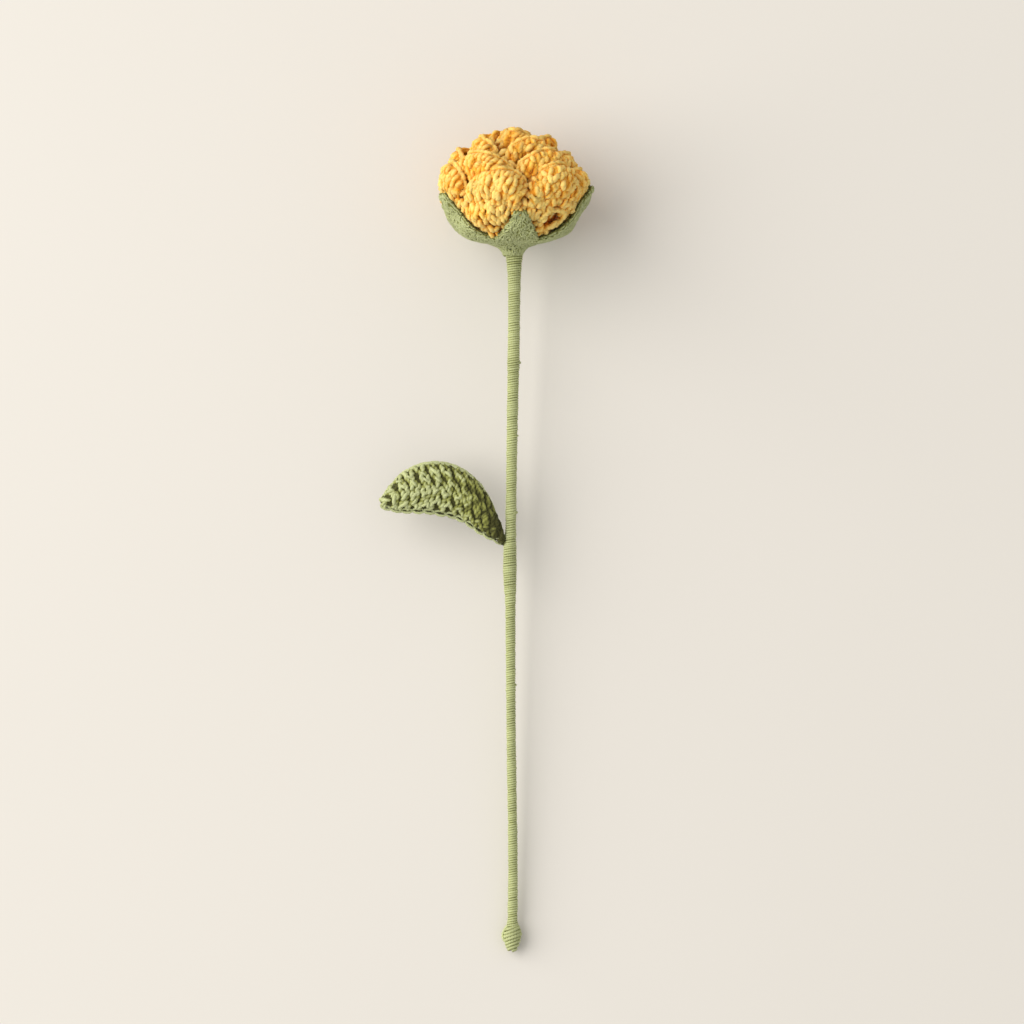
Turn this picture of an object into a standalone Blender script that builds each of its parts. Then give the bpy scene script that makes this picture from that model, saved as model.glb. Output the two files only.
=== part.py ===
# A crocheted rose on a yarn-wound wire stem, lying on its back on a flat surface.
# Lengths are in metres. The rose is first drawn upright: +Y runs from the foot to the bloom, +X is to
# the right of its front and +Z comes out of its front. Then one empty lays it down.

import math

import bmesh
import bpy
import numpy as np

MM = 0.001

# Driving dimensions
GAP = 0.3 * MM
WIRE_RADIUS = 1.2 * MM
LEAF_WIRE_RADIUS = 0.35 * MM
BLOOM_AXIS_X = 0.4 * MM
WINDING_TOP = 313.2 * MM
CALYX_FOOT = WINDING_TOP + GAP
WIRE_TOP = 345.0 * MM
PETAL_THICKNESS = 3.0 * MM
SEPAL_THICKNESS = 2.6 * MM
LEAF_THICKNESS = 2.3 * MM
MIDRIB_RADIUS = 1.75 * MM

# How the rose lies: the bloom end is raised by its own radius, the foot touches down.
LIE_TILT = math.radians(5.05)
LIE_SHIFT = (11.76 * MM, -184.06 * MM, 3.5 * MM)

SLAB = 250.0 * MM

# The stem's centre line, as (height, sideways, forwards) in millimetres
STEM_LINE = [
    (0, 0.0, 0.0), (41, 0.4, 0.1), (100, -0.4, 0.3), (170, -0.7, 0.0), (230, 0.0, -0.3),
    (275, 0.8, -0.1), (312, 1.0, 0.0), (345, 0.5, 0.0),
]

# The winding's radius against its height, in millimetres: knob, slim shaft, leaf binding, shaft, neck.
# Where it binds the leaf's wire in, from the first to the last of four heights, it stands to one side.
WINDING_PROFILE = [
    (0.0, 1.7), (1.0, 2.4), (2.6, 3.1), (4.6, 3.8), (7.2, 4.4), (9.4, 4.1), (11.4, 3.1), (13.4, 2.4),
    (40, 2.25), (100, 2.2), (140, 2.3), (158, 2.5), (165, 3.0), (173, 3.2), (181, 3.1), (186, 2.75),
    (191, 2.5), (230, 2.55), (255, 2.7), (262, 2.8), (265, 3.1), (268, 2.8), (288, 2.8), (302, 3.0),
    (308, 3.4), (WINDING_TOP / MM, 4.1),
]
KNOB_POINTS = 8
BINDING_HEIGHTS = (158, 170, 181, 190)
BINDING_SHIFT = 0.3 * MM
TURN_PITCH = 4.4 * MM
TURN_RELIEF = 0.14 * MM
WINDING_SIDES = 8

# Petal rings from the outside in, in millimetres. base, belly and rim are distances from the bloom's axis,
# root is the height where a petal starts and rise its height. Each petal has a turn in degrees, with 0 facing
# the front and 90 to the right, and a lift that makes it taller or lower than its ring.
PETAL_RINGS = [
    {"petals": ((-16, 0), (36, 2), (92, 0), (136, 1), (179, 1), (226, 2), (274, 4)), "width": 40,
     "root": 333.5, "rise": 18.0, "base": 27.5, "belly": 4.6, "rim": 31.0, "cup": 4.6, "ridges": 5},
    {"petals": ((-42, -1), (34, 0), (92, -1), (146, 0), (200, 1), (254, 0)), "width": 35, "root": 343.0,
     "rise": 17.0, "base": 20.5, "belly": 4.2, "rim": 24.0, "cup": 3.8, "ridges": 5},
    {"petals": ((-72, 0), (16, -1), (84, 0), (150, 0), (218, 1)), "width": 28, "root": 350.5,
     "rise": 16.0, "base": 13.0, "belly": 3.2, "rim": 15.8, "cup": 2.2, "ridges": 4},
    {"petals": ((-8, 0), (118, -1), (236, -1)), "width": 18, "root": 355.5,
     "rise": 14.5, "base": 6.0, "belly": 1.8, "rim": 7.5, "cup": 0.8, "ridges": 3},
    {"petals": ((70, 0),), "width": 10, "root": 357.5,
     "rise": 12.0, "base": 1.8, "belly": 0.4, "rim": 2.4, "cup": 0.0, "ridges": 3},
]
# A petal's right edge lies over its neighbour and its left edge under the other one, by this much.
PETAL_OVERLAP = 2.2 * MM
# A petal's outline is cut off just short of its corners, its root is narrower than its rim, and its rim is
# half as thick as the rest.
PETAL_SIDE = 0.93
FAN_ROOT = 0.45
RIM_THICKNESS = 0.5
OUTLINE_POWER = 2.6
PETAL_ROWS = 4
RIDGE_RELIEF = 0.35 * MM

# The bloom's core that the petals stand out of, as (radius, height) in millimetres, from its foot up
CORE_PROFILE = [
    (6.0, 320.8), (10.5, 321.4), (16.0, 325.0), (21.5, 329.2), (27.5, 333.2), (30.0, 337.5), (29.5, 342.0),
    (24.5, 349.0), (18.0, 355.5), (10.0, 361.0), (4.0, 364.0),
]
CORE_SIDES = 24

# The calyx's middle surface from its neck to a full-length sepal's tip, as (radius, height)
NECK_PROFILE = [(4.2, CALYX_FOOT / MM), (5.0, 316.0), (7.0, 317.8), (9.6, 318.6), (11.6, 319.6)]
CUP_INSIDE = [(11.6, 321.2), (8.5, 321.0), (5.0, 320.6)]
CUP_ROOM = [(12.2, 319.2), (12.2, 321.5), (8.5, 321.3), (5.0, 320.9)]
SEPAL_PROFILE = [
    (7.0, 319.6), (13.0, 320.2), (18.6, 321.6), (23.8, 324.2), (27.2, 328.0), (29.6, 332.4), (31.4, 337.0),
    (32.0, 341.0), (32.2, 345.0),
]
SEPALS = [
    {"turn": 9, "reach": 0.66}, {"turn": 84, "reach": 0.94}, {"turn": 152, "reach": 0.84},
    {"turn": 222, "reach": 0.88}, {"turn": 288, "reach": 0.86},
]
SEPAL_LENGTH = 40.0 * MM
SEPAL_HALF_WIDTH = 10.5 * MM
SEPAL_TIP_WIDTH = 2.2 * MM
SEPAL_FULLNESS = 2.0
SEPAL_ROWS = 8
SEPAL_COLUMNS = 7
# Near the neck a sepal is no wider than this share of its distance from the axis, where it meets the next.
SEPAL_CROWDING = 0.62
CUP_SIDES = 20

# The leaf's upper and lower edge from the stalk to the tip, as (sideways, height) in millimetres. Points with
# the same number lie across the leaf from each other, and the midrib runs midway between them.
LEAF_UPPER_EDGE = [
    (-4.4, 183.4), (-6.1, 192.0), (-11.7, 204.5), (-18.3, 213.0), (-28.6, 218.2), (-39.9, 218.3),
    (-49.7, 213.5), (-56.1, 205.5), (-57.9, 202.2),
]
LEAF_LOWER_EDGE = [
    (-4.8, 183.0), (-6.4, 184.8), (-10.0, 187.0), (-15.4, 190.0), (-25.2, 195.4), (-38.9, 198.0),
    (-48.9, 198.4), (-55.0, 200.0), (-58.4, 201.6),
]
# How far the leaf bulges forwards at its midrib, how much its upper half leans back, and how far both its
# edges curl back from the midrib
LEAF_BULGE = 5.0 * MM
LEAF_LEAN = 0.8 * MM
LEAF_CURL = 4.8 * MM
LEAF_ENDS = (0.04, 0.96)
LEAF_RIDGES = 13
LEAF_ROWS = 8
LEAF_RIDGE_RELIEF = 0.4 * MM
SCALLOP = 0.05

# The leaf wire's hidden leg, beside the stem wire inside the binding
LEAF_WIRE_LEG = [(-2.7, 165.0), (-2.7, 172.0), (-2.7, 178.0), (-3.6, 182.4)]

# The stem wire's bent-back foot, as (sideways, height) in millimetres
FOOT_HOOK = [(1.7, 10.5), (1.8, 7.0), (1.6, 4.4), (0.4, 3.2), (-0.8, 4.4), (-1.0, 7.0)]


def clear_scene():
    for obj in list(bpy.data.objects):
        bpy.data.objects.remove(obj)


def material(name, colour, roughness, metallic=0.0):
    made = bpy.data.materials.new(name)
    made.use_nodes = True
    shader = made.node_tree.nodes["Principled BSDF"]
    shader.inputs["Base Color"].default_value = (*colour, 1.0)
    shader.inputs["Roughness"].default_value = roughness
    shader.inputs["Metallic"].default_value = metallic
    return made


def mesh_object(name, points, faces, finish, collection=None):
    mesh = bpy.data.meshes.new(name)
    mesh.from_pydata([tuple(p) for p in points], [], [tuple(f) for f in faces])
    mesh.materials.append(finish)
    mesh.shade_smooth()
    obj = bpy.data.objects.new(name, mesh)
    (collection or bpy.context.scene.collection).objects.link(obj)
    return obj


def smooth_line(points, count):
    """A smooth curve through the points (Catmull-Rom, evenly spaced in its parameter), count points long."""
    points = np.array(points, float)
    before = 2 * points[0] - points[1]
    after = 2 * points[-1] - points[-2]
    knots = np.vstack([before, points, after])
    where = np.linspace(0, len(points) - 1, count)
    first = np.minimum(where.astype(int), len(points) - 2)
    u = (where - first)[:, None]
    p0, p1, p2, p3 = (knots[first + k] for k in range(4))
    return 0.5 * (
        2 * p1 + (p2 - p0) * u + (2 * p0 - 5 * p1 + 4 * p2 - p3) * u**2 + (3 * p1 - p0 - 3 * p2 + p3) * u**3
    )


def stem_centre(height):
    """Centre of the stem at these heights, as points."""
    line = np.array(STEM_LINE, float) * MM
    fine = smooth_line(line, 200)
    across = np.interp(height, fine[:, 0], fine[:, 1])
    forward = np.interp(height, fine[:, 0], fine[:, 2])
    return np.stack([across, np.asarray(height, float), forward], axis=-1)


def ring_faces(rings, sides):
    """Quads between consecutive rings of points, and a cap on each end."""
    faces = []
    for i in range(rings - 1):
        for j in range(sides):
            k = (j + 1) % sides
            faces.append((i * sides + j, i * sides + k, (i + 1) * sides + k, (i + 1) * sides + j))
    faces.append(tuple(reversed(range(sides))))
    faces.append(tuple((rings - 1) * sides + j for j in range(sides)))
    return faces


def turned(name, profile, sides, finish, collection=None):
    """A closed solid turned round the bloom's axis from (radius, height) pairs in millimetres, foot first."""
    profile = np.array(profile, float) * MM
    angle = np.arange(sides) * 2 * math.pi / sides
    radius, height = profile[:, :1], profile[:, 1:]
    points = np.stack([
        BLOOM_AXIS_X + radius * np.sin(angle),
        np.broadcast_to(height, (len(profile), sides)),
        radius * np.cos(angle),
    ], axis=-1)
    return mesh_object(name, points.reshape(-1, 3), ring_faces(len(profile), sides), finish, collection)


def tube(name, path, radius, finish, resolution=1):
    """A round wire along the path: a curve with a bevel and filled caps, made a mesh so that it can cut."""
    curve = bpy.data.curves.new(name, "CURVE")
    curve.dimensions = "3D"
    curve.bevel_depth = radius
    curve.bevel_resolution = resolution
    curve.use_fill_caps = True
    curve.materials.append(finish)
    spline = curve.splines.new("POLY")
    spline.points.add(len(path) - 1)
    for point, place in zip(spline.points, path):
        point.co = (*place, 1.0)
    guide = bpy.data.objects.new(name + "_guide", curve)
    bpy.context.scene.collection.objects.link(guide)
    graph = bpy.context.evaluated_depsgraph_get()
    mesh = bpy.data.meshes.new_from_object(guide.evaluated_get(graph))
    bpy.data.objects.remove(guide)
    obj = bpy.data.objects.new(name, mesh)
    bpy.context.scene.collection.objects.link(obj)
    weld = obj.modifiers.new("seal", "WELD")
    weld.merge_threshold = 1e-6
    return bake(obj)


def bake(obj):
    """Replaces the object's mesh by the one its modifiers give."""
    graph = bpy.context.evaluated_depsgraph_get()
    mesh = bpy.data.meshes.new_from_object(obj.evaluated_get(graph))
    obj.modifiers.clear()
    obj.data = mesh
    return obj


def cut(obj, cutter):
    change = obj.modifiers.new("cut", "BOOLEAN")
    change.operation = "DIFFERENCE"
    change.solver = "EXACT"
    change.object = cutter
    bake(obj)
    return obj


def join(obj, collection):
    """One union with everything in the collection, whose objects are then removed."""
    change = obj.modifiers.new("join", "BOOLEAN")
    change.operation = "UNION"
    change.operand_type = "COLLECTION"
    change.solver = "MANIFOLD"
    change.collection = collection
    bake(obj)
    drop_crumbs(obj)
    for part in list(collection.objects):
        bpy.data.objects.remove(part)
    bpy.data.collections.remove(collection)
    return obj


def drop_crumbs(obj):
    """Keeps the body with the most points: the rest are slivers of air that the union has shut in."""
    work = bmesh.new()
    work.from_mesh(obj.data)
    left = set(work.verts)
    bodies = []
    while left:
        front = [left.pop()]
        body = list(front)
        while front:
            near = [edge.other_vert(point) for point in front for edge in point.link_edges]
            front = [point for point in set(near) if point in left]
            left.difference_update(front)
            body += front
        bodies.append(body)
    bodies.sort(key=len)
    for body in bodies[:-1]:
        bmesh.ops.delete(work, geom=body, context="VERTS")
    work.to_mesh(obj.data)
    work.free()


def new_collection(name):
    made = bpy.data.collections.new(name)
    bpy.context.scene.collection.children.link(made)
    return made


def normals_of(grid):
    """Unit normals of a grid of points shaped (across, along, 3)."""
    across, along = np.gradient(grid, axis=0), np.gradient(grid, axis=1)
    normal = np.cross(across, along)
    return normal / np.linalg.norm(normal, axis=-1, keepdims=True)


def blade(name, grid, thickness, finish, collection=None):
    """A closed sheet round a grid of points: half the thickness to each side, edges closed.
    Both faces are split into the same triangles, so that a waved blade never crosses itself."""
    normal = normals_of(grid) * (thickness[..., None] / 2)
    across, along = grid.shape[:2]
    points = np.vstack([(grid + normal).reshape(-1, 3), (grid - normal).reshape(-1, 3)])
    number = np.arange(across * along).reshape(across, along)
    back = number + across * along
    faces = []
    for i in range(across - 1):
        for j in range(along - 1):
            a, b, c, d = number[i, j], number[i + 1, j], number[i + 1, j + 1], number[i, j + 1]
            faces += [(a, b, c), (a, c, d)]
            a, b, c, d = back[i, j], back[i + 1, j], back[i + 1, j + 1], back[i, j + 1]
            faces += [(c, b, a), (d, c, a)]
    rim = [(i, 0) for i in range(across)]
    rim += [(across - 1, j) for j in range(1, along)]
    rim += [(i, along - 1) for i in range(across - 2, -1, -1)]
    rim += [(0, j) for j in range(along - 2, 0, -1)]
    for one, two in zip(rim, rim[1:] + rim[:1]):
        a, b, c, d = number[one], number[two], back[two], back[one]
        faces += [(b, a, d), (b, d, c)]
    return mesh_object(name, points, faces, finish, collection)


def petal_grid(ring, turn, lift):
    """Middle surface of one fan-shaped petal. Lines at a constant s are its radial stitches: they spread
    from a narrow root, and they end on a rounded rim."""
    columns = 2 * ring["ridges"] + 1
    s, t = np.meshgrid(np.linspace(-PETAL_SIDE, PETAL_SIDE, columns), np.linspace(0, 1, PETAL_ROWS + 1),
                       indexing="ij")
    half = ring["width"] * MM / 2
    spread = s * (FAN_ROOT + (1 - FAN_ROOT) * t**0.8)
    rise = (ring["rise"] + lift) * MM * t * np.sqrt(1 - np.abs(s) ** OUTLINE_POWER)
    belly = ring["belly"] * np.sin(math.pi * t)
    distance = (ring["base"] + (ring["rim"] - ring["base"]) * t + belly - ring["cup"] * spread**2) * MM
    distance = distance + PETAL_OVERLAP * s
    angle = math.radians(turn) + half * spread / ((ring["base"] + ring["rim"]) * MM / 2)
    return np.stack([
        BLOOM_AXIS_X + distance * np.sin(angle),
        ring["root"] * MM + rise,
        distance * np.cos(angle),
    ], axis=-1), t


def make_bloom(finish):
    bloom = turned("bloom", CORE_PROFILE, CORE_SIDES, finish)
    petals = new_collection("petals")
    for r, ring in enumerate(PETAL_RINGS):
        for n, (turn, lift) in enumerate(ring["petals"]):
            grid, t = petal_grid(ring, turn, lift)
            thickness = PETAL_THICKNESS * (RIM_THICKNESS + (1 - RIM_THICKNESS) * np.sqrt(1 - t**6))
            ridged = np.arange(grid.shape[0]) % 2 == 1
            thickness += np.where(ridged, 2 * RIDGE_RELIEF, 0)[:, None] * (t > 0)
            blade(f"petal_{r}_{n}", grid, thickness, finish, petals)
    return join(bloom, petals)


def sepal_grid(sepal, extra=0.0):
    """Middle surface of one pointed sepal, which follows the bowl under the bloom. extra widens it and
    lengthens it."""
    profile = smooth_line(np.array(SEPAL_PROFILE) * MM, 60)
    along = np.linspace(0, sepal["reach"] + extra / SEPAL_LENGTH, SEPAL_ROWS)
    radius = np.interp(along, np.linspace(0, 1, 60), profile[:, 0])
    height = np.interp(along, np.linspace(0, 1, 60), profile[:, 1])
    share = np.minimum(along / sepal["reach"], 1)
    half = SEPAL_TIP_WIDTH + (SEPAL_HALF_WIDTH - SEPAL_TIP_WIDTH) * (1 - share**SEPAL_FULLNESS)
    half = np.minimum(half, radius * SEPAL_CROWDING) + extra
    across = np.linspace(-1, 1, SEPAL_COLUMNS)
    angle = math.radians(sepal["turn"]) + across[:, None] * half / radius
    return np.stack([
        BLOOM_AXIS_X + radius * np.sin(angle),
        height + 0 * angle,
        radius * np.cos(angle),
    ], axis=-1)


def make_calyx(finish):
    calyx = turned("calyx", NECK_PROFILE + CUP_INSIDE, CUP_SIDES, finish)
    sepals = new_collection("sepals")
    for n, sepal in enumerate(SEPALS):
        grid = sepal_grid(sepal)
        thickness = np.full(grid.shape[:2], SEPAL_THICKNESS)
        blade(f"sepal_{n}", grid, thickness, finish, sepals)
    return join(calyx, sepals)


def calyx_clearance(finish):
    """The calyx made a gap larger all round, to clear the bloom of it."""
    room = turned("calyx_room", NECK_PROFILE[:-1] + CUP_ROOM, CUP_SIDES, finish)
    sepals = new_collection("sepal_rooms")
    for n, sepal in enumerate(SEPALS):
        grid = sepal_grid(sepal, extra=2 * GAP)
        thickness = np.full(grid.shape[:2], SEPAL_THICKNESS + 2.6 * GAP)
        blade(f"sepal_room_{n}", grid, thickness, finish, sepals)
    join(room, sepals)
    room.hide_render = True
    room.display_type = "WIRE"
    return room


def make_winding(name, finish, extra=0.0):
    """The wound yarn as one sleeve: its turns are drawn larger than life, as ribs. extra makes it thicker."""
    profile = np.array(WINDING_PROFILE) * MM
    knob = profile[:KNOB_POINTS, 0]
    shaft = np.arange(knob[-1] + TURN_PITCH / 2, WINDING_TOP, TURN_PITCH / 2)
    heights = np.concatenate([knob, shaft[:-1], [WINDING_TOP]])
    radii = np.interp(heights, profile[:, 0], profile[:, 1])
    ribs = radii[KNOB_POINTS:-1]
    ribs += TURN_RELIEF * np.where(np.arange(len(ribs)) % 2 == 0, 1, -1)
    radii += extra
    centre = stem_centre(heights)
    binding = np.interp(heights, np.array(BINDING_HEIGHTS) * MM, [0, 1, 1, 0])
    centre[:, 0] -= BINDING_SHIFT * binding
    angle = np.arange(WINDING_SIDES) * 2 * math.pi / WINDING_SIDES
    offset = np.stack([np.sin(angle), 0 * angle, np.cos(angle)], axis=-1)
    points = centre[:, None] + radii[:, None, None] * offset
    return mesh_object(name, points.reshape(-1, 3), ring_faces(len(heights), WINDING_SIDES), finish)


def stem_wire_path():
    hook = [(x * MM, y * MM, 0.0) for x, y in FOOT_HOOK]
    hook = smooth_line(hook, 14)
    rise = stem_centre(np.linspace(16 * MM, WIRE_TOP, 34))
    return np.vstack([hook, rise])


def leaf_point(q, r):
    """A point on the leaf's middle surface. q runs from 0 at the stalk to 1 at the tip, and r from -1 at the
    lower edge over the midrib to 1 at the upper edge."""
    upper = smooth_line(np.array(LEAF_UPPER_EDGE) * MM, 100)
    lower = smooth_line(np.array(LEAF_LOWER_EDGE) * MM, 100)
    where = np.arange(100) / 99
    share = (r + 1) / 2
    x, y = (np.interp(q, where, lower[:, k]) * (1 - share) + np.interp(q, where, upper[:, k]) * share
            for k in range(2))
    z = np.sin(math.pi * q) ** 0.8 * (LEAF_BULGE - LEAF_LEAN * r - LEAF_CURL * r**2)
    return np.stack([x, y, z], axis=-1)


def midrib_path(count, last=1.0):
    return leaf_point(np.linspace(0, last, count), np.zeros(count))


def leaf_wire_path():
    leg = np.array([(x * MM, y * MM, 0.0) for x, y in LEAF_WIRE_LEG])
    path = np.vstack([leg, midrib_path(16, 0.93)])
    return smooth_line(path, 44)


def make_leaf(finish):
    """The midrib with the blade, whose stitches are ridges from edge to edge that end in scallops."""
    leaf = tube("leaf", midrib_path(24), MIDRIB_RADIUS, finish, resolution=1)
    q, r = np.meshgrid(np.linspace(*LEAF_ENDS, 2 * LEAF_RIDGES + 1), np.linspace(-1, 1, LEAF_ROWS + 1),
                       indexing="ij")
    ridged = (np.arange(q.shape[0]) % 2 == 1)[:, None]
    grid = leaf_point(q, r * (1 + SCALLOP * ridged))
    thickness = LEAF_THICKNESS + np.where(ridged, LEAF_RIDGE_RELIEF, -LEAF_RIDGE_RELIEF) * np.ones_like(r)
    blades = new_collection("leaf_blades")
    blade("leaf_blade", grid, thickness, finish, blades)
    return join(leaf, blades)


def surface_cutter(finish):
    """A slab under the surface that the rose lies on: what reaches into it is pressed flat."""
    corners = [(x, y, z) for x in (-SLAB, SLAB) for y in (-SLAB, SLAB) for z in (-SLAB, 0.0)]
    faces = [(0, 1, 3, 2), (4, 6, 7, 5), (0, 4, 5, 1), (2, 3, 7, 6), (0, 2, 6, 4), (1, 5, 7, 3)]
    slab = mesh_object("surface", corners, faces, finish)
    slab.hide_render = True
    slab.display_type = "WIRE"
    return slab


def main():
    clear_scene()
    yellow = material("yellow_yarn", (0.86, 0.53, 0.12), 0.9)
    green = material("green_yarn", (0.36, 0.43, 0.19), 0.9)
    steel = material("wire_steel", (0.45, 0.45, 0.46), 0.35, 1.0)

    bloom = make_bloom(yellow)
    calyx = make_calyx(green)
    winding = make_winding("stem_winding", green)
    leaf = make_leaf(green)
    stem_wire = tube("stem_wire", stem_wire_path(), WIRE_RADIUS, steel, resolution=1)
    leaf_wire = tube("leaf_wire", leaf_wire_path(), LEAF_WIRE_RADIUS, steel, resolution=0)

    stem_bore = tube("stem_bore", stem_wire_path(), WIRE_RADIUS + GAP, steel, resolution=1)
    leaf_bore = tube("leaf_bore", leaf_wire_path(), LEAF_WIRE_RADIUS + GAP, steel, resolution=1)
    room = calyx_clearance(green)
    winding_room = make_winding("winding_room", green, extra=1.5 * GAP)
    cut(bloom, room)
    cut(leaf, winding_room)
    for obj in (bloom, calyx, winding):
        cut(obj, stem_bore)
    for obj in (winding, leaf):
        cut(obj, leaf_bore)

    lie = bpy.data.objects.new("lying_rose", None)
    bpy.context.scene.collection.objects.link(lie)
    lie.rotation_euler = (LIE_TILT, 0, 0)
    lie.location = LIE_SHIFT
    for obj in (bloom, calyx, winding, leaf, stem_wire, leaf_wire):
        obj.parent = lie
    bpy.context.view_layer.update()
    slab = surface_cutter(green)
    for obj in (bloom, winding):
        change = obj.modifiers.new("rest", "BOOLEAN")
        change.operation = "DIFFERENCE"
        change.solver = "EXACT"
        change.object = slab
    for helper in (stem_bore, leaf_bore, room, winding_room):
        bpy.data.objects.remove(helper)


main()
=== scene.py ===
import math

import bpy
import numpy as np
from mathutils import Matrix


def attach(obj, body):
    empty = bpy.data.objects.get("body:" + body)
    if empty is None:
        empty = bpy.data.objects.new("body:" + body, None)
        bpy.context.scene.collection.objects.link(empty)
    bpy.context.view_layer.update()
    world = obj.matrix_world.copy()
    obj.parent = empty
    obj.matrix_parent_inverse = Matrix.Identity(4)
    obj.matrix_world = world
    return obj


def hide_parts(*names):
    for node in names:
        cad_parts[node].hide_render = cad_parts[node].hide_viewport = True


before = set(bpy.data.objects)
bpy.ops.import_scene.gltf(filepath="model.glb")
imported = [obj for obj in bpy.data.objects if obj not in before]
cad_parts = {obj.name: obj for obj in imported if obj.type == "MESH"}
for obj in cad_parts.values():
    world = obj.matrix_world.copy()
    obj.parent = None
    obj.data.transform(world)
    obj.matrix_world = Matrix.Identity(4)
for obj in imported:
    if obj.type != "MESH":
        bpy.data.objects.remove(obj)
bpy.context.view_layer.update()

# The rose is worked out upright, in millimetres: +Y up the stem from its foot, +X to the right of the
# bloom's front, +Z out of that front. laid() then puts it down on its back, in metres.
rose = {
    "tilt": math.radians(5.05),
    "shift": (11.76, -184.06, 3.5),
    "press": 1.2,           # below this height above the surface the yarn is squeezed flat
    "axisX": 0.4,           # the bloom's own axis stands this far to the right
}
towardsFront = np.array([0.0, 0.0, 1.0])
# What lies under the stitches takes the crease colour at this depth: painted shade.
underShadeDepth = -40.0              # the depth of what lies under the stitches, which gives it the creases' colour
untwisted = 1e6             # the pitch of a plain tube
nudge = 1e-3                # the small step by which a surface's directions are found
uvAcross, uvAlong = 6.0, 10.0       # millimetres of a sheet or of yarn for one unit of the UV map


def laid(points):
    # Turned about X and shifted; a height under `press` then becomes press * exp(height / press - 1)
    x, y, z = points[..., 0], points[..., 1], points[..., 2]
    shiftX, shiftY, shiftZ = rose["shift"]
    along = y * math.cos(rose["tilt"]) - z * math.sin(rose["tilt"]) + shiftY
    high = y * math.sin(rose["tilt"]) + z * math.cos(rose["tilt"]) + shiftZ
    squeezed = rose["press"] * np.exp(np.minimum(high / rose["press"] - 1, 0))
    high = np.where(high < rose["press"], squeezed, high)
    return np.stack([x + shiftX, along, high], axis=-1) / 1000


def aboutAxis(angle, radius, high):
    # A point at a distance from the bloom's axis: the angle is 0 in front and grows to the right
    return np.stack([rose["axisX"] + radius * np.sin(angle), high, radius * np.cos(angle)], axis=-1)


def angleFrom(turn, angle):
    # How far an angle lies from a turn in degrees, -pi to pi
    return (angle - np.radians(turn) + math.pi) % (2 * math.pi) - math.pi


def newSkein(seed):
    # A skein gathers the strands of one piece before they become a mesh. Random draws come with it.
    lists = {key: [] for key in ("points", "corners", "sizes", "uv", "depth", "shade", "outward")}
    return np.random.default_rng(seed), {"count": 0, **lists}


def addFaces(skein, points, corners, sizes, uv, depth, shade, outward=0.0):
    skein["points"].append(points.reshape(-1, 3))
    skein["corners"].append(corners.ravel() + skein["count"])
    skein["sizes"].append(sizes)
    skein["uv"].append(uv.reshape(-1, 2))
    skein["depth"].append(np.broadcast_to(depth, points.shape[:-1]).ravel())
    skein["shade"].append(np.broadcast_to(shade, points.shape[:-1]).ravel())
    skein["outward"].append(np.broadcast_to(outward, points.shape).reshape(-1, 3))
    skein["count"] += points.size // 3


def unit(vectors):
    return vectors / np.maximum(np.linalg.norm(vectors, axis=-1, keepdims=True), 1e-9)


def lengthAlong(lines):
    # How far each point of a line lies along it
    return np.linalg.norm(np.diff(lines, axis=-2, prepend=lines[..., :1, :]), axis=-1).cumsum(axis=-1)


def addStrands(skein, rng, paths, radius, up, height, sides=9, plies=3, pitch=5.0, relief=0.14, gain=1.0):
    # Many yarns at once, each a profile carried along its path:
    # point = path + radius * (1 + relief * cos(plies * a)) * (cos(a + turn) * normal + sin(a + turn) * side)
    # where turn grows by a full turn every `pitch` along the path, so that the lobes are twisted plies. The
    # depth that colours a point is height + gain * how far it lies out along the normal, so a strand's
    # underside is painted shade and its top a painted highlight.
    count, steps, _ = paths.shape
    radius, height = (np.broadcast_to(value, (count, steps)) for value in (radius, height))
    along = unit(np.gradient(paths, axis=1))
    side = unit(np.cross(along, up))
    normal = np.cross(side, along)
    arc = lengthAlong(paths)
    angle = np.arange(sides) * 2 * math.pi / sides
    start = rng.uniform(0, 2 * math.pi, (count, 1, 1))
    turn = angle + start + 2 * math.pi * arc[..., None] / pitch
    reach = radius[..., None] * (1 + relief * np.cos(plies * angle))
    out = reach * np.cos(turn)
    outward = out[..., None] * normal[:, :, None] + (reach * np.sin(turn))[..., None] * side[:, :, None]
    points = paths[:, :, None] + outward
    number = np.arange(count * steps * sides).reshape(count, steps, sides)
    after = np.roll(number, -1, axis=2)
    quads = np.stack([number[:, :-1], after[:, :-1], after[:, 1:], number[:, 1:]], axis=-1)
    u = np.broadcast_to(np.arange(sides) / sides, quads.shape[:3])
    v = np.broadcast_to(arc[..., None], number.shape) / uvAlong
    us = np.stack([u, u + 1 / sides, u + 1 / sides, u], axis=-1)
    vs = np.stack([v[:, :-1], v[:, :-1], v[:, 1:], v[:, 1:]], axis=-1)
    ends = np.concatenate([number[:, 0, ::-1], number[:, -1]])
    endV = np.concatenate([v[:, 0], v[:, -1]])
    endU = np.broadcast_to(np.arange(sides) / sides, endV.shape)
    corners = np.concatenate([quads.ravel(), ends.ravel()])
    sizes = np.concatenate([np.full(quads.size // 4, 4), np.full(len(ends), sides)])
    uv = [np.stack(pair, axis=-1).reshape(-1, 2) for pair in ((us, vs), (endU, endV))]
    shade = rng.uniform(0, 1, (count, 1, 1))
    depth = height[..., None] + gain * out
    addFaces(skein, points, corners, sizes, np.concatenate(uv), depth, shade, outward)


def addTube(skein, rng, path, radius, height, sides):
    # A plain tube, which closes what lies under the stitches
    addStrands(skein, rng, path[None], radius, towardsFront, height, sides, 1, untwisted, 0.0)


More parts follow.
